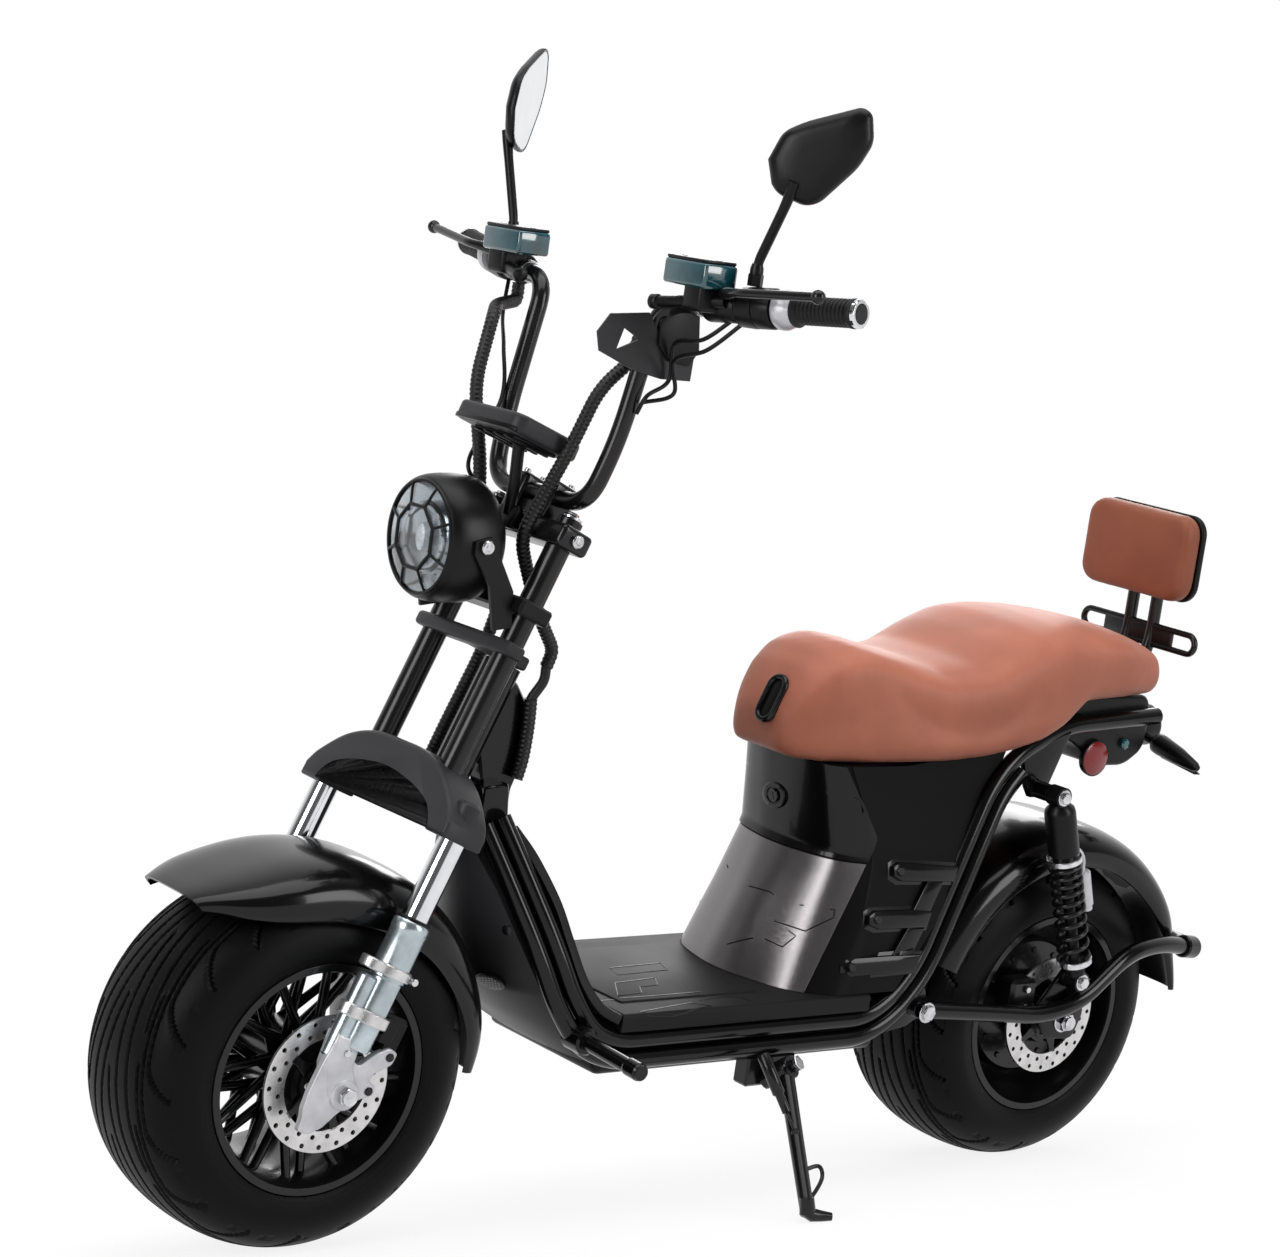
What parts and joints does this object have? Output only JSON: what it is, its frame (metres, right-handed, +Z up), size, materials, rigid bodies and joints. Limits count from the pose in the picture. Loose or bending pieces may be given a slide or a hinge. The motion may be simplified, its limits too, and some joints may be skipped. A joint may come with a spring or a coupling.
{
  "type": "electric motor scooter",
  "caption": "Fat-tyred electric motor scooter with step-through floor, high handlebar, padded seat and backrest, leaning on its side stand.",
  "frame": {"origin": "middle of the bounding box on the floor", "axes": "-Y is the direction of travel, +X the rider's left, +Z up; the scooter leans 12.8 degrees towards +X on its side stand"},
  "size_m": [0.8522, 1.6944, 1.4705],
  "materials": {
    "rubber": "matte black tyre rubber",
    "gloss_black": "gloss black paint",
    "satin_black": "satin black",
    "dark_grey": "satin dark grey",
    "black_steel": "semi-gloss black",
    "chrome": "polished",
    "zinc": "blue-grey satin",
    "steel": "brushed",
    "tan_leather": "smooth tan",
    "lens": "clear"
  },
  "bodies": {
    "frame": {"apron": "satin_black", "backrest_bracket": "black_steel", "backrest_pad": "tan_leather", "battery_box": "satin_black", "floorboard": "dark_grey", "head_tube": "gloss_black", "leg_shield": "dark_grey", "rail_left": "gloss_black", "rail_right": "gloss_black", "rear_axle": "steel", "rear_caliper": "steel", "rear_fender": "gloss_black", "seat_base": "gloss_black", "shock_left": "satin_black", "shock_right": "satin_black", "sleeve_low": "satin_black", "stand_bracket": "black_steel", "swingarm": "gloss_black", "tail": "satin_black", "tail_lamp": "satin_black"},
    "steering": {"control_left": "satin_black", "control_right": "satin_black", "fork_leg_left": "zinc", "fork_leg_right": "zinc", "fork_yoke": "dark_grey", "front_axle": "steel", "front_caliper": "satin_black", "front_fender": "gloss_black", "grip_left": "rubber", "grip_right": "rubber", "handlebar": "black_steel", "headlight": "satin_black", "headlight_bracket": "satin_black", "headlight_lens": "lens", "instrument": "dark_grey", "middle_clamp": "dark_grey", "mirror_left": "satin_black", "mirror_right": "satin_black", "riser_plate": "dark_grey", "sleeve_left": "satin_black", "sleeve_right": "satin_black", "stanchion_left": "chrome", "stanchion_right": "chrome", "top_clamp": "black_steel", "upper_tube_left": "black_steel", "upper_tube_right": "black_steel"},
    "front_wheel": {"front_disc": "steel", "front_rim": "black_steel", "front_tyre": "rubber"},
    "rear_wheel": {"rear_disc": "steel", "rear_rim": "black_steel", "rear_tyre": "rubber"},
    "side_stand": {"side_stand": "black_steel"},
    "seat": {"seat": "tan_leather"}
  },
  "joints": [
    {"name": "steering_turn", "type": "hinge", "parent": "frame", "child": "steering", "pos_m": [-0.06599, -0.3633, 0.70886], "axis": [0.2046, 0.3907, 0.8975], "range_deg": [-32.5, 37.5]},
    {"name": "front_wheel_spin", "type": "hinge", "parent": "steering", "child": "front_wheel", "pos_m": [-0.17887, -0.62556, 0.22277], "axis": [0.9779, -0.0402, -0.2054], "continuous": true},
    {"name": "rear_wheel_spin", "type": "hinge", "parent": "frame", "child": "rear_wheel", "pos_m": [-0.17689, 0.5704, 0.22233], "axis": [0.975, 0, -0.2222], "continuous": true},
    {"name": "side_stand_swing", "type": "hinge", "parent": "frame", "child": "side_stand", "pos_m": [-0.02174, 0.0344, 0.16954], "axis": [0.8335, 0.316, 0.4533], "range_deg": [0, 95]},
    {"name": "seat_lift", "type": "hinge", "parent": "frame", "child": "seat", "pos_m": [-0.09266, 0.0664, 0.59186], "axis": [0.975, 0, -0.2222], "range_deg": [0, 70]}
  ]
}
